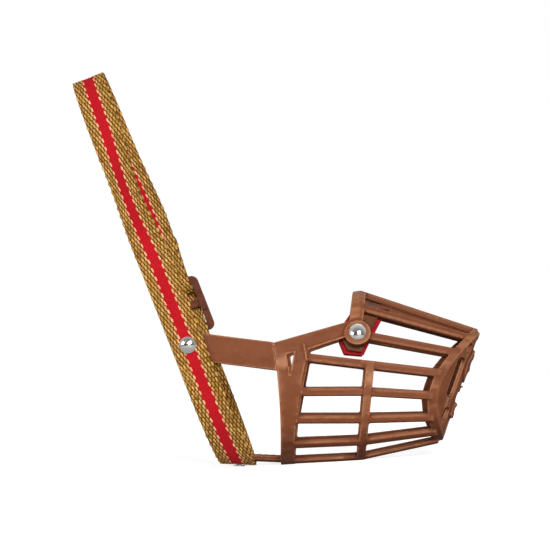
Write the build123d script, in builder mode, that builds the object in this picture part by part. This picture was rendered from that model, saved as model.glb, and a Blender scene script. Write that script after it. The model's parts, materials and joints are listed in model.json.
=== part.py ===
"""Basket muzzle for a small dog.

A moulded cage with a curved nose grille, three arms that carry a webbing head strap, a plastic tongue
buckle, and a leather and felt nose pad, all held by capped rivets. Millimetres. +X points to the nose,
+Y to the dog's left and +Z up. The cage stands at Z = 0 on the flats of its rear rim and middle hoop,
and X = 0 is the middle of the rim's foot.
"""

import os
from math import cos, radians, sin, tan

from build123d import *

os.makedirs("parts", exist_ok=True)

# ---------------------------------------------------------------- driving dimensions
# Cage: the outer skin is drawn through ellipses on three leaning planes, rear, crown and nose.
wall = 2.8
foot_cut = 0.9  # taken off the bottom of the rim and the hoop, so that the cage stands
rear_run = 8.0  # skin drawn this far behind the rim's foot
rear_half_width, rear_half_height, rear_lean = 25.9, 36.4, 3.4
crown_run, crown_half_width, crown_half_height, crown_lean = 33.0, 25.9, 38.2, 3.0
nose_run, nose_half_width, nose_half_height, nose_lean = 69.7, 19.8, 26.6, 22.7
nose_lift = 5.2
nose_edge = 1.3  # drawn in at the top and bottom of the nose

# Rear rim, cheeks and hoops, seen from the side
rim_foot_width = 6.5
rim_top_width = 15.4
rim_waist = 2.6  # how far the rear edge bows in
rim_top = 53.8
cheek_width = 6.9
boss_run, boss_height, boss_radius, boss_rise = 34.7, 56.0, 5.7, 0.5
bridge_set_back = 1.2
bridge_width, bridge_lean = 6.0, 10.5
hoop_run, hoop_lean, hoop_width, hoop_top = 33.0, 8.5, 3.6, 43.0
slot_length, slot_top_width, slot_foot_width = 9.6, 3.4, 1.2
slot_run, slot_height = 7.0, 49.2

# Bars: angle round the section from the bottom, at the rear, the crown and the nose
bar_width, bar_depth, bar_round = 3.9, 2.6, 1.2
long_bars = ((16, 13, 14), (42, 39, 37.5), (65.5, 59.5, 57), (85.6, 79.5, 79), (114, 98, 101))
upper_bars = ((119, 124), (144, 148.5))
ridge_bar = (180, 180)
ridge_depth = 3.2
web_start, web_slope, web_depth, web_width = 11.7, 5.0, 4.5, 2.4  # under the ridge, in front of the pad

# Nose grille: a plate curved across the nose, with a ring behind it
grille_radius = 26.0
grille_wall = 1.9
grille_half_chord = 21.0
ring_depth = 3.6
badge_rise = 1.0

# Nose pad, under the bridge
pad_gap = 0.3
leather_thickness, felt_thickness = 1.5, 2.6
felt_margin = 1.4
felt_gap = 0.1

# Head strap
webbing_width, webbing_thickness = 15.0, 1.6
strap_lean = 17.9
strap_half_width = 21.4  # outer face of the webbing at the side rivets
strap_rivet_back, strap_rivet_height = 38.8, 55.0
loop_straight, loop_top = 2.1, 129.0  # straight side above the buckle's fold, and top of the loop
throat_depth = 30.0  # height of the rounded bottom of the loop
throat_slope = 5.9
swing_gap = 0.3

# Arms
arm_thickness, arm_height, arm_gap, arm_twist = 2.0, 12.2, 0.2, 14.0
arm_bend_back, arm_slope = 28.0, 11.3
arm_root_side, arm_root_height = 22.95, 47.6
chin_arm_width, chin_arm_thickness, chin_arm_radius = 11.0, 1.8, 13.5
chin_arm_tail = 7.0

# Rivets
cap_radius, cap_height, cap_lip = 3.65, 1.9, 0.5
shank_radius, hole_gap = 1.2, 0.15
base_radius, base_thickness = 3.3, 0.7
chin_rivet_radius, chin_rivet_height, chin_base_thickness = 2.6, 1.6, 0.5
fold_rivet_head = 1.4
socket_depth = 1.1
bend_gap = 0.4  # between a flat rivet face and the bent layer below it

# Buckle, on the left side of the strap
frame_length, frame_thickness = 26.4, 2.4
frame_foot = 5.8  # lower edge of the frame above the side rivet
frame_rail, frame_side, frame_gap = 3.5, 3.2, 0.5
centre_bar_height, centre_bar_width = 19.4, 3.5
frame_corner, frame_clear = 3.0, 0.3
journal_radius, journal_length = 1.2, 4.6
prong_width, prong_thickness, prong_eye_gap, prong_wall = 2.2, 1.3, 0.15, 0.85
prong_tip = 4.6
flap_length = 22.0
tail_top = 55.2  # end of the free tail above the side rivet
fold_rivet_above = 9.8  # above the top of the frame
tail_slot_width, tail_slot_low, tail_slot_high = 3.8, 11.6, 23.4

# ---------------------------------------------------------------- cage skin


def leaning_plane(x, z, lean):
    """A cross plane whose local x runs to the left and whose local y leans forward by lean."""
    return Plane(origin=(x, 0, z), x_dir=(0, 1, 0), z_dir=(cos(radians(lean)), 0, -sin(radians(lean))))


rear = (leaning_plane(-rear_run, -foot_cut, rear_lean), rear_half_width, rear_half_height)
crown = (leaning_plane(crown_run, -foot_cut, crown_lean), crown_half_width, crown_half_height)
nose = (leaning_plane(nose_run, nose_lift, nose_lean), nose_half_width, nose_half_height)
nose_corner = nose[0].offset(-2 * nose_edge)


def skin(inset):
    """The solid inside the cage's skin, drawn in by inset all round."""
    with BuildPart() as solid:
        for plane, half_width, half_height in (rear, crown, (nose_corner, *nose[1:])):
            with BuildSketch(plane):
                with Locations((0, half_height)):
                    Ellipse(half_width - inset, half_height - inset)
        with BuildSketch(nose[0]):
            with Locations((0, nose_half_height)):
                Ellipse(nose_half_width - nose_edge - inset, nose_half_height - nose_edge - inset)
        loft(ruled=True)
    return solid.part


def side_prism(points):
    """A prism right across the part, with an outline seen from the side."""
    with BuildPart() as prism:
        with BuildSketch(Plane.XZ):
            with BuildLine():
                Polyline(*points, close=True)
            make_face()
        extrude(amount=2 * rear_half_width, both=True)
    return prism.part


def nose_prism(set_back):
    """Everything behind the grille's curved face, or behind a surface set back from it."""
    plane, _, half_height = nose
    face = Plane(origin=plane.origin, x_dir=plane.z_dir, z_dir=plane.y_dir)
    bulge = grille_radius - (grille_radius**2 - grille_half_chord**2) ** 0.5
    half_chord = grille_half_chord
    with BuildPart() as prism:
        with BuildSketch(face.offset(-2 * half_height)):
            with BuildLine():
                ThreePointArc((-set_back - bulge, -half_chord), (-set_back, 0), (-set_back - bulge, half_chord))
                Polyline(
                    (-set_back - bulge, half_chord),
                    (-set_back - 2 * bulge, 2 * half_chord),
                    (-2 * nose_run, 2 * half_chord),
                    (-2 * nose_run, -2 * half_chord),
                    (-set_back - 2 * bulge, -2 * half_chord),
                    (-set_back - bulge, -half_chord),
                )
            make_face()
        extrude(amount=6 * half_height)
    return prism.part


def wall_point(section, angle):
    """The middle of the wall at an angle round a section, and the way out of it."""
    plane, half_width, half_height = section
    across, up = half_width - wall / 2, half_height - wall / 2
    turn = radians(angle)
    point = plane.from_local_coords((across * sin(turn), half_height - up * cos(turn), 0))
    outward = plane.x_dir * (sin(turn) / across) - plane.y_dir * (cos(turn) / up)
    return point, outward.normalized()


def bar_run(start_section, start_angle, end_section, end_angle, depth=bar_depth):
    """One straight run of a bar, in the middle of the wall."""
    start, outward = wall_point(start_section, start_angle)
    end, _ = wall_point(end_section, end_angle)
    along = end - start
    with BuildPart() as run:
        with BuildSketch(Plane(origin=start, x_dir=outward.cross(along), z_dir=along)):
            RectangleRounded(bar_width, depth, bar_round)
        extrude(amount=along.length)
    return run.part


# ---------------------------------------------------------------- cage
rim_rear = -rim_foot_width / 2
cheek_rear = (rim_rear + 1.3, rim_top)
boss = (boss_run, boss_height)
cheek_front = (boss[0], boss[1] + 6.0)


def hoop_prism(run, lean, width, low, high):
    """A leaning strip across the part, seen from the side, between two heights."""
    shift = tan(radians(lean))
    foot, head = run + low * shift, run + high * shift
    half = width / 2
    return side_prism([(foot - half, low), (foot + half, low), (head + half, high), (head - half, high)])


with BuildPart() as cup:
    add(skin(0))
    add(nose_prism(0), mode=Mode.INTERSECT)
    add(skin(wall) & nose_prism(grille_wall), mode=Mode.SUBTRACT)

# The rear rim narrows to its foot; its rear edge bows in and its front edge sweeps back.
with BuildPart() as rim_shape:
    with BuildSketch(Plane.XZ):
        with BuildLine():
            ThreePointArc((rim_rear, -5), (rim_rear + rim_waist, rim_top / 2), cheek_rear)
            Line(cheek_rear, (cheek_rear[0] + rim_top_width - 2, rim_top + 3))
            Line((cheek_rear[0] + rim_top_width - 2, rim_top + 3), (cheek_rear[0] + rim_top_width, rim_top - 3.5))
            ThreePointArc(
                (cheek_rear[0] + rim_top_width, rim_top - 3.5),
                (rim_foot_width / 2 + 3.4, rim_top / 2 - 4),
                (rim_foot_width / 2, -5),
            )
            Line((rim_foot_width / 2, -5), (rim_rear, -5))
        make_face()
    extrude(amount=2 * rear_half_width, both=True)

cheek_shape = side_prism(
    [
        cheek_rear,
        cheek_front,
        (cheek_front[0], cheek_front[1] - cheek_width + 0.6),
        (cheek_rear[0] + rim_top_width - 1, rim_top - 4.2),
        (cheek_rear[0] + 4, rim_top - 6),
    ]
)
bridge_foot = boss_run - bridge_set_back - boss_height * tan(radians(bridge_lean))
bridge_shape = hoop_prism(bridge_foot, bridge_lean, bridge_width, boss_height, 90)
hoop_shape = hoop_prism(hoop_run, hoop_lean, hoop_width, -5, hoop_top)

# Ring and grille, with the raised oval and chin rib on its face
windows = (
    (0, 45.2, 13.0, 6.6, 2.4),
    (0, 37.6, 11.6, 3.6, 1.7),
    (0, 30.3, 13.6, 6.6, 3.0),
    (0, 21.6, 15.0, 4.4, 2.0),
    (0, 16.0, 12.0, 2.6, 1.2),
    (4.8, 9.8, 6.2, 6.0, 1.6),
    (12.1, 43.0, 3.6, 5.0, 1.5),
    (14.6, 29.2, 5.0, 18.4, 2.2),
    (13.1, 12.6, 4.0, 6.2, 1.5),
)
oval_height, oval_radii = 36.0, (10.6, 9.6)
rib_height, rib_size = 15.4, (19.0, 7.0)

with BuildPart() as badge:
    with BuildSketch(nose[0]):
        with Locations((0, oval_height)):
            Ellipse(*oval_radii)
        with Locations((0, rib_height)):
            RectangleRounded(*rib_size, 2.0)
    extrude(amount=3 * ring_depth, both=True)
    add(nose_prism(-badge_rise), mode=Mode.INTERSECT)
    add(nose_prism(grille_wall / 2), mode=Mode.SUBTRACT)

with BuildPart() as grille:
    add(cup.part)
    add(nose_prism(ring_depth), mode=Mode.SUBTRACT)
    add(badge.part)
    with BuildSketch(nose[0]):
        for y, up, width, height, corner in windows:
            for side in {y, -y}:
                with Locations((side, up)):
                    RectangleRounded(width, height, corner)
    extrude(amount=3 * ring_depth, both=True, mode=Mode.SUBTRACT)

# A web under the ridge bar, from the front of the pad to the grille
ridge_start, _ = wall_point(crown, ridge_bar[0])
ridge_end, _ = wall_point(nose, ridge_bar[1])
ridge_way = (ridge_end - ridge_start).normalized()
ridge_length = (ridge_end - ridge_start).length
with BuildPart() as ridge_web:
    with BuildSketch(Plane(origin=ridge_start, x_dir=ridge_way, z_dir=(0, -1, 0))):
        with BuildLine():
            Polyline(
                (web_start, 0),
                (web_start + web_slope, -web_depth),
                (ridge_length, -web_depth),
                (ridge_length, 0),
                close=True,
            )
        make_face()
    extrude(amount=web_width / 2, both=True)

# Bars, in the middle of the wall, from the rim to the grille
bar_zone = side_prism([(1, -5), (80, -5), (110, 90), (8, 90)])
with BuildPart() as bars:
    for rear_angle, crown_angle, nose_angle in long_bars:
        for hand in (1, -1):
            add(bar_run(rear, hand * rear_angle, crown, hand * crown_angle))
            add(bar_run(crown, hand * crown_angle, nose, hand * nose_angle))
    for crown_angle, nose_angle in upper_bars:
        for hand in (1, -1):
            add(bar_run(crown, hand * crown_angle, nose, hand * nose_angle))
    add(bar_run(crown, ridge_bar[0], nose, ridge_bar[1], ridge_depth))
    add(ridge_web.part)
    add(bar_zone, mode=Mode.INTERSECT)
    add(nose_prism(wall / 2), mode=Mode.INTERSECT)


def skin_seat(x, z):
    """The plane on the right side of the skin at a point seen from the side, facing out."""
    ray = Axis((x, 0, z), (0, -1, 0))
    hits = [hit for face in skin(0).faces() for hit in face.find_intersection_points(ray)]
    point, normal = min(hits, key=lambda hit: hit[0].Y)
    outward = normal if normal.Y < 0 else -normal
    return Plane(origin=point, x_dir=(1, 0, 0), z_dir=outward)


nose_seat = skin_seat(*boss).offset(boss_rise)
hole_radius = shank_radius + hole_gap


def post_hole(plane):
    """A cutter for a rivet's hole, either way from its seat."""
    with BuildPart() as cutter:
        with BuildSketch(plane):
            Circle(hole_radius)
        extrude(amount=5 * wall, both=True)
    return cutter.part


nose_holes = post_hole(nose_seat) + mirror(post_hole(nose_seat), about=Plane.XZ)
with BuildPart() as boss_disc:
    with BuildSketch(nose_seat):
        Circle(boss_radius)
    extrude(amount=-(boss_rise + wall))
left_boss_disc = mirror(boss_disc.part, about=Plane.XZ)

# The three-cornered slot through the rim, below the cheek
with BuildPart() as rim_slot:
    with BuildSketch(Plane.XZ):
        with BuildLine():
            Polyline(
                (slot_run - slot_top_width, slot_height - 0.9),
                (slot_run, slot_height),
                (slot_run - slot_foot_width, slot_height - slot_length),
                (slot_run - 2 * slot_foot_width, slot_height - slot_length),
                close=True,
            )
        make_face()
        fillet(vertices(), 0.4)
    extrude(amount=2 * rear_half_width, both=True)

with BuildPart() as frame_shape:
    add(rim_shape.part)
    add(cheek_shape)
    add(bridge_shape)
    add(hoop_shape)

with BuildPart() as basket:
    add(cup.part)
    add(frame_shape.part, mode=Mode.INTERSECT)
    add(grille.part)
    add(bars.part)
    add(boss_disc.part)
    add(left_boss_disc)
    add(nose_holes, mode=Mode.SUBTRACT)
    add(rim_slot.part, mode=Mode.SUBTRACT)
    with BuildSketch(Plane.XY):
        Rectangle(4 * nose_run, 4 * rear_half_width)
    extrude(amount=-2 * foot_cut, mode=Mode.SUBTRACT)

basket.part.label = "basket"
export_step(basket.part, "parts/basket.step")

# ---------------------------------------------------------------- strap frame
rivet_x = -strap_rivet_back
rivet_z = strap_rivet_height
lean_cos, lean_sin = cos(radians(strap_lean)), sin(radians(strap_lean))
strap_up, strap_forward = (-lean_sin, 0, lean_cos), (lean_cos, 0, lean_sin)
strap_plane = Plane(origin=(rivet_x, 0, rivet_z), x_dir=(0, 1, 0), z_dir=strap_forward)
strap_side = Plane(origin=(rivet_x, 0, rivet_z), x_dir=strap_forward, z_dir=(0, -1, 0))
outer, inner = strap_half_width, strap_half_width - webbing_thickness
middle = strap_half_width - webbing_thickness / 2
half_webbing = webbing_width / 2
side_seat = Plane(origin=(rivet_x, -outer, rivet_z), x_dir=(1, 0, 0), z_dir=(0, -1, 0))
side_holes = post_hole(side_seat) + mirror(post_hole(side_seat), about=Plane.XZ)

# Throat run: a rounded trough of webbing, cut to the strap's leaning band
throat_foot = chin_base_thickness + 0.35
throat_x = rivet_x + (rivet_z - throat_foot) * tan(radians(strap_lean))
slope_cos, slope_sin = cos(radians(throat_slope)), sin(radians(throat_slope))
throat_plane = Plane(origin=(throat_x, 0, throat_foot), x_dir=(0, 1, 0), z_dir=(slope_cos, 0, -slope_sin))
chin_seat = Plane(origin=throat_plane.origin, x_dir=(0, 1, 0), z_dir=(-slope_sin, 0, -slope_cos))
trough_top = rivet_z + webbing_width

with BuildPart() as throat_strap:
    with BuildSketch(throat_plane):
        for half_width, depth, mode in ((outer, 0, Mode.ADD), (inner, webbing_thickness, Mode.SUBTRACT)):
            with Locations((0, throat_depth)):
                Ellipse(half_width, throat_depth - depth, mode=mode)
            with Locations((0, throat_depth)):
                Rectangle(2 * half_width, trough_top, align=(Align.CENTER, Align.MIN), mode=mode)
    extrude(amount=2 * webbing_width, both=True)
    with BuildSketch(strap_side):
        Circle(half_webbing)
        Rectangle(webbing_width, 2 * rivet_z, align=(Align.CENTER, Align.MAX))
    extrude(amount=2 * outer, both=True, mode=Mode.INTERSECT)
    add(side_holes, mode=Mode.SUBTRACT)
    add(post_hole(chin_seat), mode=Mode.SUBTRACT)

throat_strap.part.label = "throat_strap"
export_step(throat_strap.part, "parts/throat_strap.step")

# Buckle stations, up the strap from the left side rivet and out from its inner face
frame_inner = outer + frame_clear
frame_outer = frame_inner + frame_thickness
bar_middle = (frame_inner + frame_outer) / 2
upper_rail = frame_foot + frame_length - frame_rail
flap_middle = frame_outer + frame_clear + webbing_thickness / 2
fold_radius = (flap_middle - middle) / 2
fold_height = upper_rail - 0.8
loop_side = fold_height + loop_straight
flap_end = fold_height + flap_length
flap_rest = outer + 0.5 + webbing_thickness / 2

swing_radius = half_webbing + swing_gap
with BuildPart() as swing_clear:
    with BuildSketch(strap_side):
        Circle(swing_radius)
        Rectangle(4 * webbing_width, 2 * rivet_z, align=(Align.CENTER, Align.MAX))
    extrude(amount=2 * outer, both=True)

# Neck run: up the right side, over the top, down to the buckle, and folded back round its upper rail
half_thick = webbing_thickness / 2
frame_top = frame_foot + frame_length
fold_rivet_height = frame_top + fold_rivet_above
with BuildPart() as neck_strap:
    with BuildSketch(strap_plane):
        with BuildLine():
            Line((-outer, 0), (-outer, loop_side))
            EllipticalCenterArc((0, loop_side), outer, loop_top - loop_side, arc_size=180)
            Line((outer, loop_side), (outer, fold_height))
            Line((outer, fold_height), (inner, fold_height))
            Line((inner, fold_height), (inner, loop_side))
            EllipticalCenterArc(
                (0, loop_side), inner, loop_top - webbing_thickness - loop_side, arc_size=180
            )
            Line((-inner, loop_side), (-inner, 0))
            Line((-inner, 0), (-outer, 0))
        make_face()
        with Locations(((middle + flap_middle) / 2, fold_height)):
            Circle(fold_radius + half_thick)
            Circle(fold_radius - half_thick, mode=Mode.SUBTRACT)
        with Locations(((middle + flap_middle) / 2, fold_height)):
            Rectangle(
                2 * (fold_radius - half_thick),
                2 * fold_radius,
                align=(Align.CENTER, Align.MIN),
                mode=Mode.SUBTRACT,
            )
        with BuildLine():
            Polyline(
                (flap_middle - half_thick, fold_height),
                (flap_middle - half_thick, frame_top + 0.6),
                (flap_rest - half_thick, frame_top + 6),
                (flap_rest - half_thick, flap_end),
                (flap_rest + half_thick, flap_end),
                (flap_rest + half_thick, frame_top + 6),
                (flap_middle + half_thick, frame_top + 0.6),
                (flap_middle + half_thick, fold_height),
                close=True,
            )
        make_face()
    extrude(amount=half_webbing, both=True)
    add(swing_clear.part, mode=Mode.SUBTRACT)
    with BuildSketch(Plane(strap_plane.from_local_coords((middle, fold_rivet_height, 0)), z_dir=(0, 1, 0))):
        Circle(hole_radius)
    extrude(amount=3 * webbing_thickness, both=True, mode=Mode.SUBTRACT)

neck_strap.part.label = "neck_strap"
export_step(neck_strap.part, "parts/neck_strap.step")

# Free tail: from the left rivet, under the lower rail, out over the centre bar and up
tail_out = frame_outer + 0.7 + half_thick
tail_over = flap_middle + half_thick + 0.6 + half_thick
hole_heights = [centre_bar_height + 9.5 + 9 * step for step in range(3)]
with BuildPart() as strap_tail:
    with BuildSketch(strap_plane):
        with BuildLine():
            FilletPolyline(
                (middle, 0),
                (middle, frame_foot + 4.2),
                (tail_out, centre_bar_height - 2.2),
                (tail_out, centre_bar_height + 3.1),
                (tail_over, fold_height + 0.1),
                (tail_over, frame_top + 1.8),
                (tail_over - 1, tail_top),
                radius=2.5,
            )
            offset(amount=half_thick, side=Side.BOTH, mode=Mode.REPLACE)
        make_face()
    extrude(amount=half_webbing, both=True)
    add(swing_clear.part, mode=Mode.SUBTRACT)
    with BuildSketch(strap_side):
        with Locations((0, (tail_slot_low + tail_slot_high) / 2)):
            SlotOverall(tail_slot_high - tail_slot_low, tail_slot_width, rotation=90)
        with Locations(*[(0, height) for height in hole_heights]):
            Circle(tail_slot_width / 2 - 0.4)
    extrude(amount=-2 * outer, mode=Mode.SUBTRACT)
    with BuildSketch(strap_side):
        with Locations((0, tail_top)):
            RectangleRounded(webbing_width, 2 * tail_top, webbing_width / 3, align=(Align.CENTER, Align.MAX))
    extrude(amount=-2 * outer, mode=Mode.INTERSECT)
strap_tail.part.label = "strap_tail"
export_step(strap_tail.part, "parts/strap_tail.step")

# ---------------------------------------------------------------- buckle
# The middle of the centre bar is turned down to a journal, which the prong's eye goes round.
frame_plane = Plane(
    origin=strap_plane.from_local_coords((frame_inner, 0, 0)),
    x_dir=(-lean_cos, 0, -lean_sin),
    z_dir=(0, 1, 0),
)
frame_slot = webbing_width + 1
lower_rail = frame_foot + frame_rail
bar_low, bar_high = centre_bar_height - centre_bar_width / 2, centre_bar_height + centre_bar_width / 2
with BuildPart() as buckle_frame:
    with BuildSketch(frame_plane):
        with Locations((0, frame_foot + frame_length / 2)):
            RectangleRounded(frame_slot + 2 * frame_side, frame_length, frame_corner)
    extrude(amount=frame_thickness)
    with Locations(frame_plane.location):
        for hand in (1, -1):
            with Locations((hand * (frame_slot + frame_side) / 2, centre_bar_height, frame_thickness / 2)):
                Box(frame_side, centre_bar_width + 5, frame_thickness + 2 * frame_gap)
    fillet(buckle_frame.edges().group_by(Axis.Y)[-1] + buckle_frame.edges().group_by(Axis.Y)[0], 0.4)
    with BuildSketch(frame_plane):
        for low, high in ((lower_rail, bar_low), (bar_high, upper_rail)):
            with Locations((0, (low + high) / 2)):
                RectangleRounded(frame_slot, high - low, 0.8)
    extrude(amount=frame_thickness, mode=Mode.SUBTRACT)
    with Locations(frame_plane.location):
        with Locations((0, centre_bar_height, frame_thickness / 2)):
            Box(journal_length, centre_bar_width, frame_thickness, mode=Mode.SUBTRACT)
            Cylinder(journal_radius, journal_length, rotation=(0, 90, 0))
buckle_frame.part.label = "buckle_frame"
export_step(buckle_frame.part, "parts/buckle_frame.step")

eye_radius = journal_radius + prong_eye_gap
tongue_middle = frame_outer + prong_eye_gap + prong_thickness / 2
with BuildPart() as buckle_prong:
    with BuildSketch(strap_plane):
        with Locations((bar_middle, centre_bar_height)):
            Circle(eye_radius + prong_wall)
        with BuildLine():
            Polyline(
                (bar_middle, centre_bar_height),
                (tongue_middle + prong_thickness / 2, centre_bar_height),
                (tongue_middle + prong_thickness / 2, prong_tip + 1),
                (tongue_middle, prong_tip),
                (tongue_middle - prong_thickness / 2, prong_tip + 1),
                (tongue_middle - prong_thickness / 2, centre_bar_height - eye_radius),
                close=True,
            )
        make_face()
        with Locations((bar_middle, centre_bar_height)):
            Circle(eye_radius, mode=Mode.SUBTRACT)
    extrude(amount=prong_width / 2, both=True)
buckle_prong.part.label = "buckle_prong"
export_step(buckle_prong.part, "parts/buckle_prong.step")

# ---------------------------------------------------------------- arms
# Each side arm lies flat inside the webbing at its rivet, then twists out to the rim's rear face.
arm_cos, arm_sin = cos(radians(arm_slope)), sin(radians(arm_slope))
arm_forward = (arm_cos, 0, -arm_sin)
arm_outer = inner - arm_gap
bend_reach = strap_rivet_back - arm_bend_back
bend_height = rivet_z - bend_reach * arm_sin / arm_cos
with BuildPart() as side_arm_right:
    with BuildSketch(Plane(origin=(rivet_x, -arm_outer, rivet_z), x_dir=arm_forward, z_dir=(0, 1, 0))):
        Circle(arm_height / 2)
        Rectangle(bend_reach / arm_cos, arm_height, align=(Align.MIN, Align.CENTER))
    extrude(amount=arm_thickness)
    for point, turn in (
        ((-arm_bend_back, arm_thickness / 2 - arm_outer, bend_height), 0),
        ((0, -arm_root_side, arm_root_height), -arm_twist),
    ):
        with BuildSketch(Plane(origin=point, x_dir=(0, -1, 0), z_dir=arm_forward)):
            Rectangle(arm_thickness, arm_height, rotation=turn)
    loft(ruled=True)
    add(post_hole(side_seat), mode=Mode.SUBTRACT)
    add(rim_shape.part, mode=Mode.SUBTRACT)
side_arm_right.part.label = "side_arm_right"
export_step(side_arm_right.part, "parts/side_arm_right.step")

with BuildPart() as side_arm_left:
    add(mirror(side_arm_right.part, about=Plane.XZ))
side_arm_left.part.label = "side_arm_left"
export_step(side_arm_left.part, "parts/side_arm_left.step")

chin_rise = webbing_thickness + arm_gap
with BuildPart() as chin_arm:
    with BuildSketch(throat_plane.offset(-chin_arm_tail)):
        with Locations((0, chin_rise + chin_arm_radius)):
            Circle(chin_arm_radius)
            Circle(chin_arm_radius - chin_arm_thickness, mode=Mode.SUBTRACT)
        Rectangle(chin_arm_width, chin_arm_radius, align=(Align.CENTER, Align.MIN), mode=Mode.INTERSECT)
    extrude(amount=chin_arm_tail - throat_x)
    with BuildSketch(Plane.XY):
        with Locations((throat_x - chin_arm_tail, 0)):
            RectangleRounded(-2 * throat_x, chin_arm_width, 4, align=(Align.MIN, Align.CENTER))
    extrude(amount=chin_arm_radius, mode=Mode.INTERSECT)
    add(post_hole(chin_seat), mode=Mode.SUBTRACT)
    add(rim_shape.part, mode=Mode.SUBTRACT)
chin_arm.part.label = "chin_arm"
export_step(chin_arm.part, "parts/chin_arm.step")

# ---------------------------------------------------------------- nose pad
# A leather pad under the bridge with a felt one inside it, both bent to the inside of the cage.


def pad_layer(depth, thickness, margin):
    """A layer of the pad, from a depth below the skin, drawn in from the felt's outline by a margin.

    The outline is seen from the side, from the nose rivet.
    """
    outline = [
        (margin - 8.3, margin / 2 - 3.0),
        (margin - 6.2, margin - 8.8),
        (2.0 - margin / 2, margin - 10.0),
        (4.9 - margin, margin - 4.8),
        (11.0 - margin, margin + 5.0),
        (16.6 - 1.5 * margin, 19.0),
        (16.6 - 1.5 * margin, 34.0),
        (2.3 + margin, 34.0),
        (1.3 + margin, 19.0),
        (margin - 1.7, 9.8),
        (margin - 5.5, 5.0 - margin / 2),
    ]
    placed = [(boss[0] + along, boss[1] + up) for along, up in outline]
    layer = (skin(depth) - skin(depth + thickness)) & side_prism(placed)
    return layer - nose_holes


leather_depth = wall + pad_gap
with BuildPart() as nose_pad_leather:
    add(pad_layer(leather_depth, leather_thickness, felt_margin))
nose_pad_leather.part.label = "nose_pad_leather"
export_step(nose_pad_leather.part, "parts/nose_pad_leather.step")

felt_depth = leather_depth + leather_thickness + felt_gap
with BuildPart() as nose_pad_felt:
    add(pad_layer(felt_depth, felt_thickness, 0))
nose_pad_felt.part.label = "nose_pad_felt"
export_step(nose_pad_felt.part, "parts/nose_pad_felt.step")

# ---------------------------------------------------------------- rivets
# A rivet is a domed cap, pressed on a post whose flat base lies on the far side of the stack.


def rivet_cap(seat, radius, height):
    """A domed cap on a seat, with a socket for the post."""
    with BuildPart() as cap:
        with BuildSketch(Plane.XZ):
            with BuildLine():
                TangentArc((0, height), (radius, cap_lip), tangent=(1, 0))
                Polyline(
                    (radius, cap_lip),
                    (radius, 0),
                    (shank_radius, 0),
                    (shank_radius, socket_depth),
                    (0, socket_depth),
                    (0, height),
                )
            make_face()
        revolve(axis=Axis.Z)
    return seat.location * cap.part


def rivet_post(seat, stack, radius, thickness):
    """A post through a stack, from its base up into the cap's socket."""
    with BuildPart() as post:
        with BuildSketch(Plane.XY.offset(-stack)):
            Circle(radius)
        extrude(amount=-thickness)
        with BuildSketch(Plane.XY.offset(-stack)):
            Circle(shank_radius)
        extrude(amount=stack + socket_depth)
    return seat.location * post.part


side_stack = webbing_thickness + arm_gap + arm_thickness
with BuildPart() as side_rivet_cap_right:
    add(rivet_cap(side_seat, cap_radius, cap_height))
side_rivet_cap_right.part.label = "side_rivet_cap_right"
export_step(side_rivet_cap_right.part, "parts/side_rivet_cap_right.step")

with BuildPart() as side_rivet_cap_left:
    add(mirror(side_rivet_cap_right.part, about=Plane.XZ))
side_rivet_cap_left.part.label = "side_rivet_cap_left"
export_step(side_rivet_cap_left.part, "parts/side_rivet_cap_left.step")

with BuildPart() as side_rivet_post_right:
    add(rivet_post(side_seat, side_stack, base_radius, base_thickness))
side_rivet_post_right.part.label = "side_rivet_post_right"
export_step(side_rivet_post_right.part, "parts/side_rivet_post_right.step")

with BuildPart() as side_rivet_post_left:
    add(mirror(side_rivet_post_right.part, about=Plane.XZ))
side_rivet_post_left.part.label = "side_rivet_post_left"
export_step(side_rivet_post_left.part, "parts/side_rivet_post_left.step")

nose_stack = boss_rise + felt_depth + felt_thickness + bend_gap
with BuildPart() as nose_rivet_cap_right:
    add(rivet_cap(nose_seat, cap_radius, cap_height))
nose_rivet_cap_right.part.label = "nose_rivet_cap_right"
export_step(nose_rivet_cap_right.part, "parts/nose_rivet_cap_right.step")

with BuildPart() as nose_rivet_cap_left:
    add(mirror(nose_rivet_cap_right.part, about=Plane.XZ))
nose_rivet_cap_left.part.label = "nose_rivet_cap_left"
export_step(nose_rivet_cap_left.part, "parts/nose_rivet_cap_left.step")

with BuildPart() as nose_rivet_post_right:
    add(rivet_post(nose_seat, nose_stack, base_radius, base_thickness))
nose_rivet_post_right.part.label = "nose_rivet_post_right"
export_step(nose_rivet_post_right.part, "parts/nose_rivet_post_right.step")

with BuildPart() as nose_rivet_post_left:
    add(mirror(nose_rivet_post_right.part, about=Plane.XZ))
nose_rivet_post_left.part.label = "nose_rivet_post_left"
export_step(nose_rivet_post_left.part, "parts/nose_rivet_post_left.step")

# The chin rivet's cap is inside, on the chin arm, and its base is under the webbing.
chin_stack = chin_rise + chin_arm_thickness + bend_gap
chin_cap_seat = Plane(throat_plane.origin, x_dir=(0, 1, 0), z_dir=(slope_sin, 0, slope_cos)).offset(chin_stack)
with BuildPart() as chin_rivet_cap:
    add(rivet_cap(chin_cap_seat, chin_rivet_radius, chin_rivet_height))
chin_rivet_cap.part.label = "chin_rivet_cap"
export_step(chin_rivet_cap.part, "parts/chin_rivet_cap.step")

with BuildPart() as chin_rivet_post:
    add(rivet_post(chin_cap_seat, chin_stack, chin_rivet_radius, chin_base_thickness))
chin_rivet_post.part.label = "chin_rivet_post"
export_step(chin_rivet_post.part, "parts/chin_rivet_post.step")

# The fold rivet holds the folded end of the neck run, above the buckle.
fold_seat = Plane(
    origin=strap_plane.from_local_coords((flap_rest + half_thick, fold_rivet_height, 0)),
    x_dir=strap_forward,
    z_dir=(0, 1, 0),
)
fold_stack = flap_rest + half_thick - inner + bend_gap
with BuildPart() as fold_rivet_cap:
    add(rivet_cap(fold_seat, cap_radius, fold_rivet_head))
fold_rivet_cap.part.label = "fold_rivet_cap"
export_step(fold_rivet_cap.part, "parts/fold_rivet_cap.step")

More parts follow.
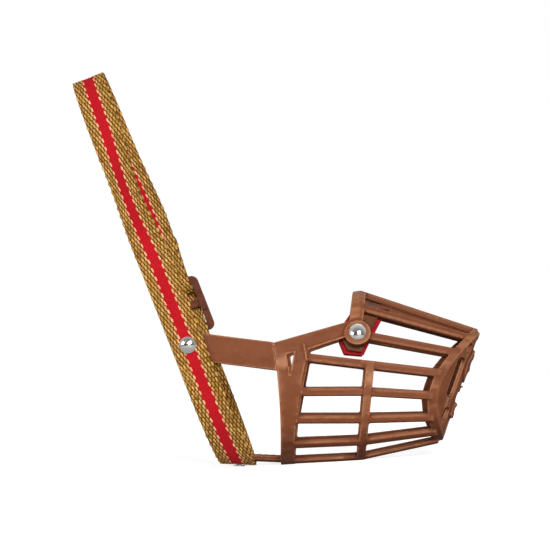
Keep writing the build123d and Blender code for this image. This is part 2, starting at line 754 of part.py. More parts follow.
with BuildPart() as fold_rivet_post:
    add(rivet_post(fold_seat, fold_stack, base_radius, base_thickness))
fold_rivet_post.part.label = "fold_rivet_post"
export_step(fold_rivet_post.part, "parts/fold_rivet_post.step")
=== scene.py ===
"""The looks of a basket muzzle for a small dog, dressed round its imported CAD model.

A moulded brown cage with a nose grille, three arms, a gold and red webbing head strap with a tongue
buckle, nickel rivets, and a leather and felt nose pad. Metres, in the CAD model's frame.
"""

import json
import random
from math import cos, pi, radians, sin, sqrt, tan

import bmesh
import bpy
import numpy
from mathutils import Matrix, Vector
from mathutils.bvhtree import BVHTree
from mathutils.kdtree import KDTree


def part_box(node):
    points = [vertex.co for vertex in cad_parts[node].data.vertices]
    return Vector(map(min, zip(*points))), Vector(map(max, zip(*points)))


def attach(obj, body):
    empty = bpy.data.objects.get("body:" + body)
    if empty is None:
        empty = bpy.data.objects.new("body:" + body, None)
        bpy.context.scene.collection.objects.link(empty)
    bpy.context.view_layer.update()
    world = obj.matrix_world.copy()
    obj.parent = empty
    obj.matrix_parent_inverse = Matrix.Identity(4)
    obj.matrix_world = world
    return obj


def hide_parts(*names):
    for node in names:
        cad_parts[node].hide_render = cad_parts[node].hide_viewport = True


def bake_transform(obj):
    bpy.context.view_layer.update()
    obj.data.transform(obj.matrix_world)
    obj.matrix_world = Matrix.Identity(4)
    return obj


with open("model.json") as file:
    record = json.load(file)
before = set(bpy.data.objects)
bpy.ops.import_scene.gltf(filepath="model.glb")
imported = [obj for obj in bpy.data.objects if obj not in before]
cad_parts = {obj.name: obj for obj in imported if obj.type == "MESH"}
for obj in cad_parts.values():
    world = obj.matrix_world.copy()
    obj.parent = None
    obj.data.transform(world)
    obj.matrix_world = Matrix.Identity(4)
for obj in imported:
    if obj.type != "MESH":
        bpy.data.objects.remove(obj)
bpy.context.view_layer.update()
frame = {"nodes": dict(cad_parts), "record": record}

# ---------------------------------------------------------------- studio
# A paper floor under the muzzle's two feet, a soft main lamp and a weaker one on the camera's side, a
# broad one behind, and a white surround. The camera looks at the dog's right side, a little rolled.


class Signal:
    """A number or colour that runs through a finish's nodes; arithmetic on it adds Math nodes."""

    def __init__(self, finish, socket):
        self.finish, self.socket = finish, socket

    def math(self, operation, *values):
        return self.finish.node("Math", {"operation": operation}, [self, *values])

    def __add__(self, value):
        return self.math("ADD", value)

    def __radd__(self, value):
        return self.math("ADD", value)

    def __sub__(self, value):
        return self.math("SUBTRACT", value)

    def __rsub__(self, value):
        return self.finish.node("Math", {"operation": "SUBTRACT"}, [value, self])

    def __mul__(self, value):
        return self.math("MULTIPLY", value)

    def __rmul__(self, value):
        return self.math("MULTIPLY", value)

    def __truediv__(self, value):
        return self.math("DIVIDE", value)

    def __rtruediv__(self, value):
        return self.finish.node("Math", {"operation": "DIVIDE"}, [value, self])


class Finish:
    """One material, and the nodes that feed its shader."""

    def __init__(self, name, **constants):
        self.material = bpy.data.materials.new(name)
        self.material.use_nodes = True
        self.tree = self.material.node_tree
        self.shader = self.tree.nodes["Principled BSDF"]
        for socket, value in constants.items():
            self.shader.inputs[socket.replace("_", " ")].default_value = value

    def node(self, kind, settings, values, output=0):
        """A node of a kind, its settings, its sockets' values or links, and one of its outputs."""
        made = self.tree.nodes.new("ShaderNode" + kind)
        for name, value in settings.items():
            if name == "stops":
                ramp = made.color_ramp.elements
                for index, (place, colour) in enumerate(value):
                    stop = ramp[index] if index < 2 else ramp.new(place)
                    stop.position, stop.color = place, (*colour, 1)
            else:
                setattr(made, name, value)
        for key, value in values.items() if isinstance(values, dict) else enumerate(values):
            if isinstance(value, Signal):
                self.tree.links.new(value.socket, made.inputs[key])
            else:
                made.inputs[key].default_value = value
        return Signal(self, made.outputs[output])

    def place(self):
        """Object coordinates, in metres."""
        return self.node("TexCoord", {}, [], "Object")

    def noise(self, where, scale, detail=3, stretch=(1, 1, 1)):
        """Cloudy noise from 0 to 1, with a scale in features per metre."""
        spread = self.node("Mapping", {}, {"Vector": where, "Scale": stretch})
        return self.node("TexNoise", {}, {"Vector": spread, "Scale": scale, "Detail": detail})

    def ease(self, value, low, high, to_low=0.0, to_high=1.0):
        """A smooth step of a value between two limits."""
        sockets = [value, low, high, to_low, to_high]
        return self.node("MapRange", {"interpolation_type": "SMOOTHSTEP"}, sockets)

    def blend(self, share, first, second):
        """A mix of two colours."""
        colours = {6: first, 7: second}
        for key, colour in colours.items():
            if not isinstance(colour, Signal):
                colours[key] = (*colour, 1)
        return self.node("Mix", {"data_type": "RGBA"}, {0: share, **colours}, 2)

    def feed(self, **signals):
        """Links signals to the shader's sockets."""
        for socket, signal in signals.items():
            self.tree.links.new(signal.socket, self.shader.inputs[socket.replace("_", " ")])

    def relief(self, *layers):
        """Bumps laid one over another, each a height signal and its depth in metres."""
        normal = None
        for height, depth in layers:
            values = {"Height": height, "Distance": depth, "Strength": 1.0}
            if normal:
                values["Normal"] = normal
            normal = self.node("Bump", {}, values)
        self.feed(Normal=normal)


def lamp(name, place, aim, size, watts):
    """A square soft lamp that points at the muzzle."""
    data = bpy.data.lights.new(name, "AREA")
    data.size, data.energy = size, watts
    body = bpy.data.objects.new(name, data)
    bpy.context.collection.objects.link(body)
    body.location = place
    body.rotation_mode = "QUATERNION"
    body.rotation_quaternion = (Vector(aim) - Vector(place)).to_track_quat("-Z", "Y")


lamp("key_lamp", (0.20, -0.78, 0.38), (0.01, 0.0, 0.03), 0.34, 7.4)
lamp("fill_lamp", (-0.60, -0.50, 0.30), (0.0, 0.0, 0.05), 0.28, 1.8)
lamp("back_lamp", (0.20, 0.65, 0.70), (0.0, 0.0, 0.06), 0.60, 1.2)

floor_width = 6
bpy.ops.mesh.primitive_plane_add(size=floor_width)
floor = bpy.context.object
floor.name = "floor"
paper = Finish("pale_paper", Roughness=0.9)
grain = paper.noise(paper.place(), 900, 2)
paper.feed(Base_Color=paper.blend(grain, (0.49, 0.49, 0.49), (0.52, 0.52, 0.52)))
# The camera sees the paper brighter than it lights the muzzle, and whiter further out.
near_white, far_white, own_light = 0.68, 0.98, 0.12
seen = paper.node("LightPath", {}, [], "Is Camera Ray")
away = paper.node("VectorMath", {"operation": "LENGTH"}, [paper.place()], "Value")
whiteness = paper.ease(away, 0.12, 0.9, near_white, far_white)
glow = paper.node("Emission", {}, {"Color": (1, 1, 1, 1), "Strength": seen * whiteness + own_light})
lit = paper.node("AddShader", {}, [Signal(paper, paper.shader.outputs[0]), glow])
paper.tree.links.new(lit.socket, paper.tree.nodes["Material Output"].inputs["Surface"])
floor.data.materials.append(paper.material)

surround = bpy.data.worlds.new("surround")
surround.use_nodes = True
bpy.context.scene.world = surround
sky = surround.node_tree


def sky_node(kind, values, operation=None):
    """The outputs of a node of the surround, with its sockets' values or links."""
    made = sky.nodes.new("ShaderNode" + kind)
    if operation:
        made.operation = operation
    for key, value in values.items():
        if isinstance(value, bpy.types.NodeSocket):
            sky.links.new(value, made.inputs[key])
        else:
            made.inputs[key].default_value = value
    return made.outputs


# White to the camera and dim as a light. Bare metal mirrors a dark front and a bright back, so that its
# domes show their shape.
dim, white = 0.07, 1.0
front, back = {"From Min": -0.85, "To Min": 0.02}, {"From Max": 0.1, "To Max": 0.7}
rays = sky_node("LightPath", {})
bright = sky_node("Math", {0: rays["Is Camera Ray"], 1: rays["Is Transmission Ray"]}, "MAXIMUM")[0]
heading = sky_node("SeparateXYZ", {0: sky_node("TexCoord", {})["Generated"]})["Y"]
behind = sky_node("MapRange", {"Value": heading, **front, **back})["Result"]
mirrored = sky_node("Math", {0: rays["Is Glossy Ray"], 1: behind, 2: bright}, "MULTIPLY_ADD")[0]
strength = sky_node("MapRange", {"Value": mirrored, "To Min": dim, "To Max": white})["Result"]
sky.nodes["Background"].inputs["Color"].default_value = (1, 1, 1, 1)
sky.links.new(strength, sky.nodes["Background"].inputs["Strength"])

roll = radians(3.43)
eye = (0.0238, -0.600, 0.0371)
camera_data = bpy.data.cameras.new("camera")
camera_data.sensor_width, camera_data.lens = 36.0, 87.7
camera_data.shift_x, camera_data.shift_y = -0.109, 0.187
camera_data.clip_start, camera_data.clip_end = 0.01, 20
camera = bpy.data.objects.new("camera", camera_data)
bpy.context.collection.objects.link(camera)
turn = Matrix(((cos(roll), sin(roll), 0), (0, 0, -1), (-sin(roll), cos(roll), 0)))
camera.matrix_world = Matrix.Translation(eye) @ turn.to_4x4()
bpy.context.scene.camera = camera
bpy.context.scene.view_settings.view_transform = "Standard"

# ---------------------------------------------------------------- moulded cage and arms
# Brown polypropylene, moulded in one: rim, cheeks, bridge, hoop, bars and nose grille, with small radii
# on every edge and in every corner. The three arms leave the rim's rear face.


def settle(piece):
    """Turns what a piece's modifiers make into its mesh."""
    bpy.context.view_layer.update()
    mesh = bpy.data.meshes.new_from_object(piece.evaluated_get(bpy.context.evaluated_depsgraph_get()))
    piece.modifiers.clear()
    piece.data = mesh


def softened(name, node, cell, passes, triangles, beads=()):
    """A copy of a CAD node with its edges rounded, as a mould leaves them, and with beads joined on."""
    source = frame["nodes"][node]
    shape = bmesh.new()
    shape.from_mesh(source.data)
    bmesh.ops.remove_doubles(shape, verts=shape.verts, dist=2e-6)
    for points, radius in beads:
        for start, end in zip(points, points[1:]):
            way = end - start
            turn = way.to_track_quat("Z", "Y").to_matrix().to_4x4()
            place = Matrix.Translation((start + end) / 2) @ turn
            bmesh.ops.create_cone(
                shape, cap_ends=True, segments=8, radius1=radius, radius2=radius,
                depth=way.length + radius, matrix=place,
            )
    mesh = bpy.data.meshes.new(name)
    shape.to_mesh(mesh)
    shape.free()
    copy = bpy.data.objects.new(name, mesh)
    bpy.context.collection.objects.link(copy)
    grid = copy.modifiers.new("grid", "REMESH")
    grid.mode, grid.voxel_size, grid.use_smooth_shade = "VOXEL", cell, True
    ease = copy.modifiers.new("ease", "SMOOTH")
    ease.factor, ease.iterations = 0.5, passes
    thin = copy.modifiers.new("thin", "DECIMATE")
    quads = len(copy.evaluated_get(bpy.context.evaluated_depsgraph_get()).data.polygons)
    thin.ratio = min(1.0, triangles / (2 * quads))
    settle(copy)
    copy.data.name = name
    copy.data.materials.clear()
    copy.data.polygons.foreach_set("use_smooth", [True] * len(copy.data.polygons))
    mark_edges(copy.data, cell)
    return copy


def mark_edges(mesh, cell):
    """Stores how far each vertex stands out of its surroundings, from 0 in a corner to 1 on an edge."""
    count = len(mesh.vertices)
    places, normals = numpy.empty(count * 3), numpy.empty(count * 3)
    mesh.vertices.foreach_get("co", places)
    mesh.vertices.foreach_get("normal", normals)
    places, normals = places.reshape(-1, 3), normals.reshape(-1, 3)
    pairs = numpy.empty(len(mesh.edges) * 2, dtype=numpy.int32)
    mesh.edges.foreach_get("vertices", pairs)
    one, two = pairs.reshape(-1, 2).T
    valence = numpy.maximum(numpy.bincount(one, minlength=count) + numpy.bincount(two, minlength=count), 1)
    smoothing, gain = 3, 3.0

    def around(values):
        """The mean of each vertex's neighbours."""
        total = [
            numpy.bincount(one, values[two, axis], count) + numpy.bincount(two, values[one, axis], count)
            for axis in range(3)
        ]
        return numpy.array(total).T / valence[:, None]

    lean = places - around(places)
    bulge = (lean * normals).sum(axis=1)[:, None].repeat(3, axis=1) / cell
    for _ in range(smoothing):
        bulge = (bulge + around(bulge)) / 2
    shares = numpy.clip(0.5 + bulge[:, 0] * gain, 0, 1)
    mesh.attributes.new("edge", "FLOAT", "POINT").data.foreach_set("value", shares.astype(numpy.float32))


plastic = Finish("brown_moulded_plastic", IOR=1.49, Specular_IOR_Level=0.1)
where = plastic.place()
flow = plastic.noise(where, 60, 4, (1, 1, 3))
mottle = plastic.noise(where, 420, 3)
# Flow marks in the plastic's own colour.
flow_tone = plastic.ease(flow, 0.3, 0.7)
brown = plastic.blend(flow_tone, (0.156, 0.047, 0.019), (0.195, 0.060, 0.025))
brown = plastic.blend(plastic.ease(mottle, 0.35, 0.7, 0.0, 0.35), brown, (0.236, 0.079, 0.034))
# Painted shade in the corners and on the faces that look down, and a painted highlight on the edges.
edge = plastic.node("Attribute", {"attribute_name": "edge"}, [], "Fac")
brown = plastic.blend(plastic.ease(edge, 0.46, 0.28, 0, 0.85), brown, (0.060, 0.014, 0.006))
# Painted highlight on the edges.
brown = plastic.blend(plastic.ease(edge, 0.55, 0.82, 0, 0.70), brown, (0.52, 0.24, 0.12))
# Painted shade on the faces that look down.
facing = plastic.node("SeparateXYZ", {}, [plastic.node("NewGeometry", {}, [], "Normal")], 2)
brown = plastic.blend(plastic.ease(facing, -0.3, -0.75, 0, 0.8), brown, (0.080, 0.020, 0.009))
plastic.feed(Base_Color=brown, Roughness=plastic.ease(mottle, 0.3, 0.7, 0.48, 0.62))
plastic.relief((plastic.noise(where, 1500, 2), 0.00002), (plastic.noise(where, 160, 2), 0.00008))

# Raised beads along the rim and on both cheeks, as (x, z) lines in millimetres that are laid on the cage's
# skin, and a thicker bead at the foot of the web under the ridge.
bead_lines = (
    ((11.3, 52.3), (12.6, 42.1), (9.5, 33.5), (6.2, 19.8), (5.1, 11.1)),
    ((4.1, 48.0), (7.4, 49.4), (5.0, 39.4), (4.2, 39.4), (4.1, 48.0)),
    ((13.4, 50.3), (21.2, 52.5), (29.1, 54.5)),
    ((-1.7, 53.2), (-2.1, 51.4), (-1.4, 43.6)),
)
web_foot = [Vector((46.3, 0, 67.6)) / 1000, Vector((50.5, 0, 66.4)) / 1000]
bead_radius, web_foot_radius = 0.00048, 0.0014
outside, bead_steps, apart = 60, 8, 1e-5
skin = BVHTree.FromObject(frame["nodes"]["basket"], bpy.context.evaluated_depsgraph_get())
beads = []
for line in bead_lines:
    for hand in (-1, 1):
        points = []
        for (ax, az), (bx, bz) in zip(line, line[1:]):
            for step in range(bead_steps + 1):
                share = step / bead_steps
                start = Vector((ax + (bx - ax) * share, hand * outside, az + (bz - az) * share)) / 1000
                hit = skin.ray_cast(start, Vector((0, -hand, 0)))[0]
                if hit:
                    points.append(hit)
        clear = [p for k, p in enumerate(points) if not k or (p - points[k - 1]).length > apart]
        beads.append((clear, bead_radius))
beads.append((web_foot, web_foot_radius))

mould_cell, mould_passes = 0.00032, 6
for node, triangles, joined in (
    ("basket", 190000, beads),
    ("side_arm_left", 30000, ()),
    ("side_arm_right", 30000, ()),
    ("chin_arm", 30000, ()),
):
    moulding = softened(node + "_moulding", node, mould_cell, mould_passes, triangles, joined)
    moulding.data.materials.append(plastic.material)
    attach(moulding, "basket")
    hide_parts(node)

# ---------------------------------------------------------------- head strap
# One length of 15 mm webbing, gold braid on both edges of a red band. It starts at the end of the fold,
# goes round the buckle's upper rail, over the neck, down through the right side rivet, under the throat,
# up through the left one and out through the buckle as the free tail.
# Lengths in this section are in millimetres until they reach a mesh.
joints = {joint["name"]: joint for joint in frame["record"]["behaviour"]["joints"]}
rivet = Vector(joints["strap_swing"]["pos_m"]) * 1000
strap_forward = Vector(joints["prong_swing"]["axis"])
strap_up = Vector((-strap_forward.z, 0, strap_forward.x))
left = Vector((0, 1, 0))
webbing_thick = 1.6
side_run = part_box("throat_strap")[1][1] * 1000 - webbing_thick / 2
loop_side, loop_top = 30.0, 129.0
throat_depth, throat_slope = 30.0, radians(5.9)
throat_along = Vector((cos(throat_slope), 0, -sin(throat_slope)))
throat_rise = Vector((sin(throat_slope), 0, cos(throat_slope)))
throat_foot = Vector((0, 0, 0.85))
throat_foot.x = rivet.x + (rivet.z - throat_foot.z) * strap_forward.z / strap_forward.x
braid_pitch, braid_columns = 3.9, (2.5, 3.24, 3.98, 4.72, 5.46, 6.2, 6.94)


def rounded(corners, cut):
    """A polyline with each corner replaced by a short curve."""
    points = [Vector(corners[0])]
    for before, corner, after in zip(corners, corners[1:], corners[2:]):
        before, corner, after = Vector(before), Vector(corner), Vector(after)
        start = corner + (before - corner).normalized() * min(cut, (before - corner).length * 0.45)
        end = corner + (after - corner).normalized() * min(cut, (after - corner).length * 0.45)
        for share in (step / 8 for step in range(9)):
            points.append(start.lerp(corner, share).lerp(corner.lerp(end, share), share))
    return points + [Vector(corners[-1])]


def evenly(points, step):
    """Points a step apart along a polyline."""
    lengths = [0.0]
    for a, b in zip(points, points[1:]):
        lengths.append(lengths[-1] + (b - a).length)
    count = round(lengths[-1] / step)
    placed, at = [], 0
    for index in range(count + 1):
        target = lengths[-1] * index / count
        while at < len(lengths) - 2 and lengths[at + 1] < target:
            at += 1
        share = (target - lengths[at]) / max(lengths[at + 1] - lengths[at], 1e-9)
        placed.append(points[at].lerp(points[at + 1], share))
    return placed


def strap_line():
    """Stations down the middle of the webbing: its centre, the way out of its face, and the way across."""
    # Places on the neck run are (left of the middle, up the strap) from the side rivets.
    fold_centre, fold_radius, bend = Vector((22.9, 27.9)), 2.3, 2.5
    fold = rounded([(22.7, 49.9), (22.7, 38.2), (25.2, 32.6), (25.2, 27.9)], bend)
    turns = [pi * k / 16 for k in range(1, 17)]
    fold += [fold_centre + Vector((cos(turn), -sin(turn))) * fold_radius for turn in turns]
    rise = loop_top - webbing_thick / 2 - loop_side
    turns = [pi * k / 160 for k in range(161)]
    arch = [Vector((side_run * cos(turn), loop_side + rise * sin(turn))) for turn in turns]
    run_foot = -20.0
    step = braid_pitch / 5
    over = evenly(fold + arch + [Vector((-side_run, run_foot))], step)
    tail_run = [(side_run, 10.0), (25.6, 17.2), (25.6, 22.5), (27.4, 28.0), (27.4, 34.0), (26.4, 55.1)]
    tail = evenly(rounded([(side_run, run_foot), *tail_run], bend), step)

    def between(value, low, high):
        """How far a value has come from one limit to another, from 0 to 1."""
        return min(max((value - low) / (high - low), 0), 1)

    def flat(points):
        """Stations on the neck run or the tail, with the bow and the turn that soft webbing takes there."""
        slant = -tan(radians(23.8))
        bow_foot, bow_top, buckle_shift = 32, 107, 0.45
        turn_top = 114
        made = []
        for index, point in enumerate(points):
            ahead, behind = points[min(index + 1, len(points) - 1)], points[max(index - 1, 0)]
            way = (ahead - behind).normalized()
            # Below the rivets the way across slants over to that of the throat run.
            skew = slant * between(point.y, -7.5, run_foot)
            # Above the buckle the left side bows forward, and the right side back.
            bow = (2.1 if point.x > 0 else 1.2) * sin(pi * between(point.y, bow_foot, bow_top)) ** 2
            shift = strap_forward * (bow * point.x / side_run)
            if point.x > 20 and point.y < bow_foot:
                into_buckle = min((bow_foot - point.y) / 6, max(point.y, 0) / 8, 1)
                shift += strap_forward * (buckle_shift * into_buckle)
            centre = rivet + left * point.x + strap_up * point.y + shift
            face = left * way.y - strap_up * way.x
            # Both sides turn the same way about the strap's length, and lie square again at both ends.
            turn_foot, most = (30, 34) if point.x < 0 else (44, 26)
            turned = radians(most) * sin(pi * between(point.y, turn_foot, turn_top)) ** 2
            spin = Matrix.Rotation(-turned, 3, strap_up)
            made.append((centre, spin @ face, spin @ strap_forward + strap_up * skew))
        return made

    # Places on the throat run are (left of the middle, up from its foot) in the run's own slope.
    depth = throat_depth - webbing_thick / 2
    across = throat_along / throat_along.dot(strap_forward)
    start_rise = (rivet + strap_up * run_foot - throat_foot).dot(throat_rise)
    trough = [Vector((-side_run, start_rise))]
    for angle in (pi * (k / 720 - 0.5) for k in range(721)):
        trough.append(Vector((side_run * sin(angle), throat_depth - depth * cos(angle))))
    trough.append(Vector((side_run, start_rise)))
    under = []
    spaced = evenly(trough, step)
    for index, point in enumerate(spaced):
        way = (spaced[min(index + 1, len(spaced) - 1)] - spaced[max(index - 1, 0)]).normalized()
        base = throat_foot + left * point.x + throat_rise * point.y
        base = base + across * (rivet - base).dot(strap_forward)
        under.append((base, left * way.y - throat_rise * way.x, across))
    return flat(over)[:-1] + under + flat(tail)[1:]


def strap_place(along, across, out=0.0):
    """A point on the webbing, with the ways along, across and out of it there."""
    place = min(max(along / webbing_length * (len(stations) - 1), 0), len(stations) - 1.001)
    low = int(place)
    first, second = stations[low], stations[low + 1]
    centre, normal, side = (a.lerp(b, place - low) for a, b in zip(first, second))
    return centre + side * across + normal * out, (second[0] - first[0]).normalized(), side, normal


def webbing_ground():
    """The woven ground as one closed strip with rounded edges and a rounded free end."""
    half_lines = (0.9, 1.8, 2.7, 3.6, 4.6, 5.6, 6.6, 7.1, 7.25)
    lines = [-place for place in reversed(half_lines)] + [0, *half_lines]
    half_thick, round_start, round_width, tip_flat = 0.58, 6.5, 0.8, 2.4
    verts, faces, weave, rows = [], [], [], []
    row_count = len(stations) + 8
    for index in range(row_count):
        along = webbing_length * index / (row_count - 1)
        ahead = max(tip_radius - (webbing_length - along), 0)
        narrow = (tip_flat + sqrt(max(tip_radius**2 - ahead * ahead, 0.3))) / (tip_flat + tip_radius)
        row = []
        for face in (1, -1):
            for place in lines if face == 1 else lines[::-1]:
                beyond = max(abs(place) - round_start, 0) / round_width
                height = half_thick * sqrt(max(1 - beyond**2, 0.03))
                point, _, _, _ = strap_place(along, place * narrow, face * height)
                row.append(len(verts))
                verts.append(point / 1000)
                weave.append((along, place, 0.0))
        rows.append(row)
    count = len(rows[0])
    for above, below in zip(rows, rows[1:]):
        for k in range(count):
            faces.append((above[k], below[k], below[(k + 1) % count], above[(k + 1) % count]))
    faces += [tuple(rows[0]), tuple(reversed(rows[-1]))]
    mesh = bpy.data.meshes.new("webbing")
    mesh.from_pydata(verts, [], faces)
    mesh.polygons.foreach_set("use_smooth", [True] * len(mesh.polygons))
    return mesh, weave


def yarn_seeds():
    """A point for each float of gold yarn, staggered from column to column, clear of the holes."""
    tip_flat, yarn_height, end_margin = 2.0, 0.50, 1.5
    clear_along, clear_across = 2.4, 2.6
    chance = random.Random(7)
    verts, fields = [], {"way": [], "out": [], "weave": []}
    for face in (1, -1):
        for column, place in enumerate(braid_columns):
            for hand in (1, -1):
                along = braid_pitch * (0.5 + 0.5 * (column % 2))
                while along < webbing_length - end_margin:
                    spot = along + chance.uniform(-0.12, 0.12)
                    across = hand * (place + chance.uniform(-0.05, 0.05))
                    along += braid_pitch
                    ahead = max(tip_radius - (webbing_length - spot), 0)
                    if abs(across) > tip_flat + sqrt(max(tip_radius**2 - ahead * ahead, 0)):
                        continue
                    near_hole = any(abs(spot - hole) < clear_along for hole, _ in punched)
                    if near_hole and abs(across) < clear_across:
                        continue
                    point, way, side, normal = strap_place(spot, across, face * yarn_height)
                    verts.append(point / 1000)
                    slant = 0.13 * face + chance.uniform(-0.04, 0.04)
                    fields["way"].extend((way + side * slant).normalized())
                    fields["out"].extend(normal * face)
                    fields["weave"].extend((spot, across, 1 + chance.random()))
    mesh = bpy.data.meshes.new("yarn_seeds")
    mesh.from_pydata(verts, [], [])
    for name, values in fields.items():
        mesh.attributes.new(name, "FLOAT_VECTOR", "POINT").data.foreach_set("vector", values)
    return bpy.data.objects.new("yarn_floats", mesh)


def yarn_tree():
    """Geometry nodes that lay a leaf-shaped float of yarn on every seed."""
    tree = bpy.data.node_groups.new("yarn_floats", "GeometryNodeTree")
    face = tree.interface
    face.new_socket("Seeds", in_out="INPUT", socket_type="NodeSocketGeometry")
    for name in ("Length", "Width", "Thickness"):
        face.new_socket(name, in_out="INPUT", socket_type="NodeSocketFloat")
    face.new_socket("Material", in_out="INPUT", socket_type="NodeSocketMaterial")
    face.new_socket("Yarn", in_out="OUTPUT", socket_type="NodeSocketGeometry")

    def add_node(kind, settings=(), **links):
        node = tree.nodes.new(kind)
        for name, value in dict(settings).items():
            setattr(node, name, value)
        for name, source in links.items():
            socket = node.inputs[name.replace("_", " ")]
            if isinstance(source, bpy.types.NodeSocket):
                tree.links.new(source, socket)
            else:
                socket.default_value = source
        return node.outputs[0]

    given = tree.nodes.new("NodeGroupInput").outputs
    size = add_node("ShaderNodeCombineXYZ", X=given["Thickness"], Y=given["Width"], Z=given["Length"])
    ball = add_node("GeometryNodeMeshUVSphere", Segments=6, Rings=5, Radius=0.5)
    leaf = add_node("GeometryNodeTransform", Geometry=ball, Scale=size)
    leaf = add_node("GeometryNodeSetShadeSmooth", Geometry=leaf)
    way = add_node("GeometryNodeInputNamedAttribute", {"data_type": "FLOAT_VECTOR"}, Name="way")
    out = add_node("GeometryNodeInputNamedAttribute", {"data_type": "FLOAT_VECTOR"}, Name="out")
    turn = add_node("FunctionNodeAlignRotationToVector", {"axis": "Z"}, Vector=way)
    settings = {"axis": "X", "pivot_axis": "Z"}
    turn = add_node("FunctionNodeAlignRotationToVector", settings, Vector=out, Rotation=turn)
    laid = add_node("GeometryNodeInstanceOnPoints", Points=given["Seeds"], Instance=leaf, Rotation=turn)
    laid = add_node("GeometryNodeRealizeInstances", Geometry=laid)
    named = add_node("GeometryNodeSetMaterial", Geometry=laid, Material=given["Material"])
    tree.links.new(named, tree.nodes.new("NodeGroupOutput").inputs[0])
    return tree


stations = strap_line()
webbing_length = sum((b[0] - a[0]).length for a, b in zip(stations, stations[1:]))
tip_radius = 5.0
# Three holes and the prong's slot in the tail: where each is along the webbing, and half its length.
tail_foot = webbing_length - 55.1
hole_radius, slot_half_length, slot_widening = 1.5, 5.9, 1.2
punched = [(tail_foot + place, hole_radius) for place in (29.2, 38.2, 47.2)]
punched.append((tail_foot + 18.0, slot_half_length))

cloth = Finish("gold_and_red_webbing", Roughness=0.8, Specular_IOR_Level=0.1, Sheen_Weight=0.03)
# The weave attribute holds the place along and across the webbing, and 0 on the ground or, on a float of
# yarn, 1 and more for its tone.
weave = cloth.node("Attribute", {"attribute_name": "weave"}, [], "Vector")
along, across, kind = (cloth.node("SeparateXYZ", {}, [weave], axis) for axis in "XYZ")
side = across.math("ABSOLUTE")
where = cloth.place()
fluff = cloth.noise(where, 1100, 3)
patch = cloth.noise(where, 60, 2)
tone = kind - 1
gold_tones = ((0.0, (0.24, 0.088, 0.010)), (0.5, (0.43, 0.20, 0.030)), (1.0, (0.68, 0.37, 0.105)))
gold = cloth.node("ValToRGB", {"stops": gold_tones}, [tone])
gold = cloth.blend(cloth.ease(patch, 0.35, 0.65, 0, 0.45), gold, (0.40, 0.23, 0.035))
salmon = cloth.blend(tone, (0.74, 0.30, 0.14), (0.86, 0.46, 0.24))
yarn = cloth.blend(cloth.ease(side, 2.8, 3.6), salmon, gold)
yarn = cloth.blend(cloth.ease(fluff, 0.4, 0.75, 0, 0.35), yarn, (0.86, 0.60, 0.27))
pick = (along / 0.85 + (across / 0.45).math("FLOOR") * 0.5).math("FRACT").math("PINGPONG", 0.5)
red = cloth.blend(cloth.ease(pick, 0.05, 0.35), (0.30, 0.003, 0.008), (0.58, 0.009, 0.016))
red = cloth.blend(cloth.ease(patch, 0.4, 0.65, 0, 0.35), red, (0.36, 0.004, 0.010))
dark = cloth.blend(fluff, (0.075, 0.028, 0.003), (0.16, 0.075, 0.009))
ground = cloth.blend(cloth.ease(side, 2.4, 2.65), red, dark)
cloth.feed(Base_Color=cloth.blend(cloth.ease(kind, 0.4, 0.6), ground, yarn))
cloth.relief((pick * cloth.ease(side, 2.3, 2.6, 1, 0), 0.0002), (fluff, 0.00012))

ground_mesh, ground_weave = webbing_ground()
nearest = KDTree(len(ground_weave))
for index, vertex in enumerate(ground_mesh.vertices):
    nearest.insert(vertex.co, index)
nearest.balance()
webbing = bpy.data.objects.new("webbing", ground_mesh)
bpy.context.collection.objects.link(webbing)
for hole, half_length in punched:
    centre, way, side_way, normal = strap_place(hole, 0)
    bpy.ops.mesh.primitive_cylinder_add(vertices=20, radius=hole_radius / 1000, depth=0.004)
    punch = bpy.context.object
    turn = Matrix((way, side_way.normalized(), normal)).transposed()
    widening = slot_widening if half_length > hole_radius else 1
    stretch = Matrix.Diagonal((half_length / hole_radius, widening, 1, 1))
    punch.matrix_world = Matrix.Translation(centre / 1000) @ turn.to_4x4() @ stretch
    cut = webbing.modifiers.new("cut", "BOOLEAN")
    cut.object, cut.operation, cut.solver = punch, "DIFFERENCE", "EXACT"
    settle(webbing)
    bpy.data.objects.remove(punch)
marks = [c for vertex in webbing.data.vertices for c in ground_weave[nearest.find(vertex.co)[1]]]
webbing.data.attributes.new("weave", "FLOAT_VECTOR", "POINT").data.foreach_set("vector", marks)
webbing.data.materials.clear()
webbing.data.materials.append(cloth.material)

yarn_floats = yarn_seeds()
bpy.context.collection.objects.link(yarn_floats)
braid = yarn_floats.modifiers.new("braid", "NODES")
braid.node_group = yarn_tree()
sizes = {"Length": 0.00245, "Width": 0.00106, "Thickness": 0.00062, "Material": cloth.material}
for socket in braid.node_group.interface.items_tree:
    if socket.name in sizes:
        braid[socket.identifier] = sizes[socket.name]
settle(yarn_floats)

for piece in (webbing, yarn_floats):
    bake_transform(piece)
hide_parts("throat_strap", "neck_strap", "strap_tail")

# ---------------------------------------------------------------- rivets
# Domed nickel-plated caps, pressed on posts with flat bases. They hold the webbing to the arms, the fold
# above the buckle and the nose pad under the cheeks. The caps and posts are the CAD model's own.
nickel = Finish("polished_nickel", Base_Color=(0.72, 0.70, 0.67, 1), Metallic=1.0)
where = nickel.place()
nickel.feed(Roughness=nickel.ease(nickel.noise(where, 700, 4), 0.35, 0.75, 0.10, 0.30))
nickel.relief((nickel.noise(where, 2500, 3, (1, 1, 6)), 0.000006))
for name, node in frame["nodes"].items():
    if "rivet" in name:
        node.data.materials.clear()
        node.data.materials.append(nickel.material)

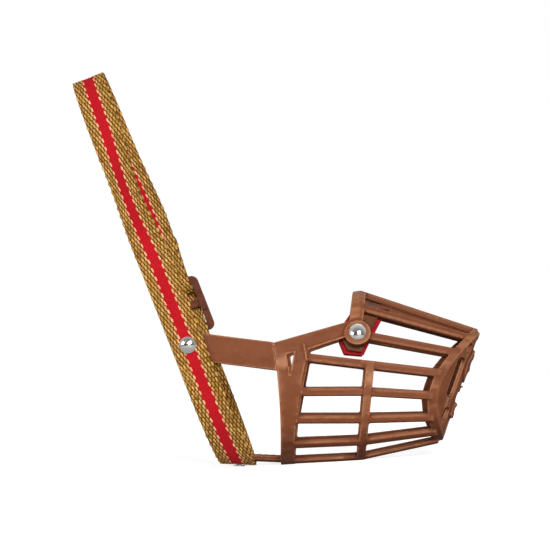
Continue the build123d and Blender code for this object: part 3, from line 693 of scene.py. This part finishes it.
# ---------------------------------------------------------------- buckle
# A moulded dark brown frame with a centre bar, held in the fold of the webbing, and a bent steel tongue
# with an eye round the bar.
frame_piece = softened("buckle_frame_moulding", "buckle_frame", 0.0002, 2, 40000)
dark = Finish("dark_brown_moulded_plastic", IOR=1.49, Specular_IOR_Level=0.12)
where = dark.place()
mottle = dark.noise(where, 300, 3)
dark.feed(
    Base_Color=dark.blend(dark.ease(mottle, 0.3, 0.7), (0.092, 0.026, 0.011), (0.135, 0.039, 0.017)),
    Roughness=dark.ease(mottle, 0.3, 0.7, 0.45, 0.6),
)
dark.relief((dark.noise(where, 1500, 2), 0.00002))
frame_piece.data.materials.append(dark.material)
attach(frame_piece, "neck_strap")
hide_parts("buckle_frame")

steel = Finish("bright_steel", Base_Color=(0.62, 0.62, 0.63, 1), Metallic=1.0)
where = steel.place()
steel.feed(Roughness=steel.ease(steel.noise(where, 900, 3), 0.3, 0.7, 0.2, 0.4))
steel.relief((steel.noise(where, 2500, 2, (6, 1, 1)), 0.000008))
tongue = softened("buckle_tongue", "buckle_prong", 0.00012, 2, 16000)
tongue.data.materials.append(steel.material)
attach(tongue, "prong")
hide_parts("buckle_prong")

# ---------------------------------------------------------------- nose pad
# A grained leather pad bent to the inside of the bridge, and a red felt pad a little larger inside it.
# The two nose rivets hold both.
felt = Finish("red_felt", Roughness=0.95, Specular_IOR_Level=0.15, Sheen_Weight=0.1, Sheen_Roughness=0.6)
where = felt.place()
fibres = felt.noise(where, 1400, 5)
tufts = felt.noise(where, 300, 3)
felt.feed(Base_Color=felt.blend(felt.ease(fibres, 0.3, 0.75), (0.22, 0.002, 0.006), (0.46, 0.008, 0.016)))
felt.relief((fibres, 0.00035), (tufts, 0.0004))
leather = Finish("brown_leather", Specular_IOR_Level=0.3)
where = leather.place()
cells = leather.node("TexVoronoi", {"feature": "DISTANCE_TO_EDGE"}, {"Vector": where, "Scale": 1100})
tone = leather.noise(where, 200, 3)
hide = leather.blend(leather.ease(tone, 0.3, 0.7), (0.095, 0.026, 0.008), (0.180, 0.056, 0.018))
leather.feed(Base_Color=hide, Roughness=leather.ease(tone, 0.3, 0.7, 0.45, 0.65))
leather.relief((leather.ease(cells, 0.0, 0.2), 0.00012), (tone, 0.0001))
for node, finish, slot in (("nose_pad_felt", felt, "pad_felt"), ("nose_pad_leather", leather, "pad_leather")):
    pad = softened(node + "_layer", node, 0.00028, 4, 60000)
    pad.data.materials.append(finish.material)
    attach(pad, "basket")
    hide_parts(node)
